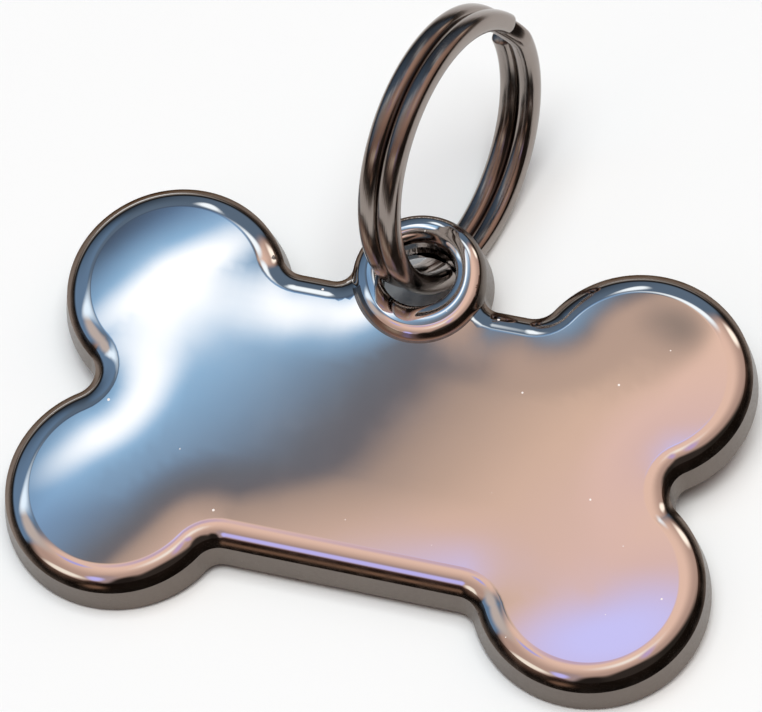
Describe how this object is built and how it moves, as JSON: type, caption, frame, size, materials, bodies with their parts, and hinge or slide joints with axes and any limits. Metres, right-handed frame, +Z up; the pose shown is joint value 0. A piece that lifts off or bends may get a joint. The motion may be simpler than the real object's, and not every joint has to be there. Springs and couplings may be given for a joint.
{
  "type": "pet id tag",
  "caption": "Bone-shaped polished metal pet tag with a soft rounded edge and a raised eye, hung on a split ring that clips to a collar.",
  "frame": {"origin": "on the surface the tag lies on, under the middle of its bounding box", "axes": "+X along the bone, +Y from the bone towards the ring, +Z up; the tag lies face up, propped by its ring"},
  "size_m": [0.0508, 0.0466, 0.0211],
  "materials": {
    "polished_plate": "mirror-polished plated casting",
    "ring_wire": "dark nickel plated spring wire, polished"
  },
  "bodies": {
    "tag": {"tag_plate": "polished_plate"},
    "ring": {"split_ring": "ring_wire"}
  },
  "joints": [
    {"name": "ring_swing", "type": "hinge", "parent": "tag", "child": "ring", "pos_m": [0, 0.00491, 0.00542], "axis": [0, -0.1093, 0.994], "range_deg": [-55, 80]}
  ]
}
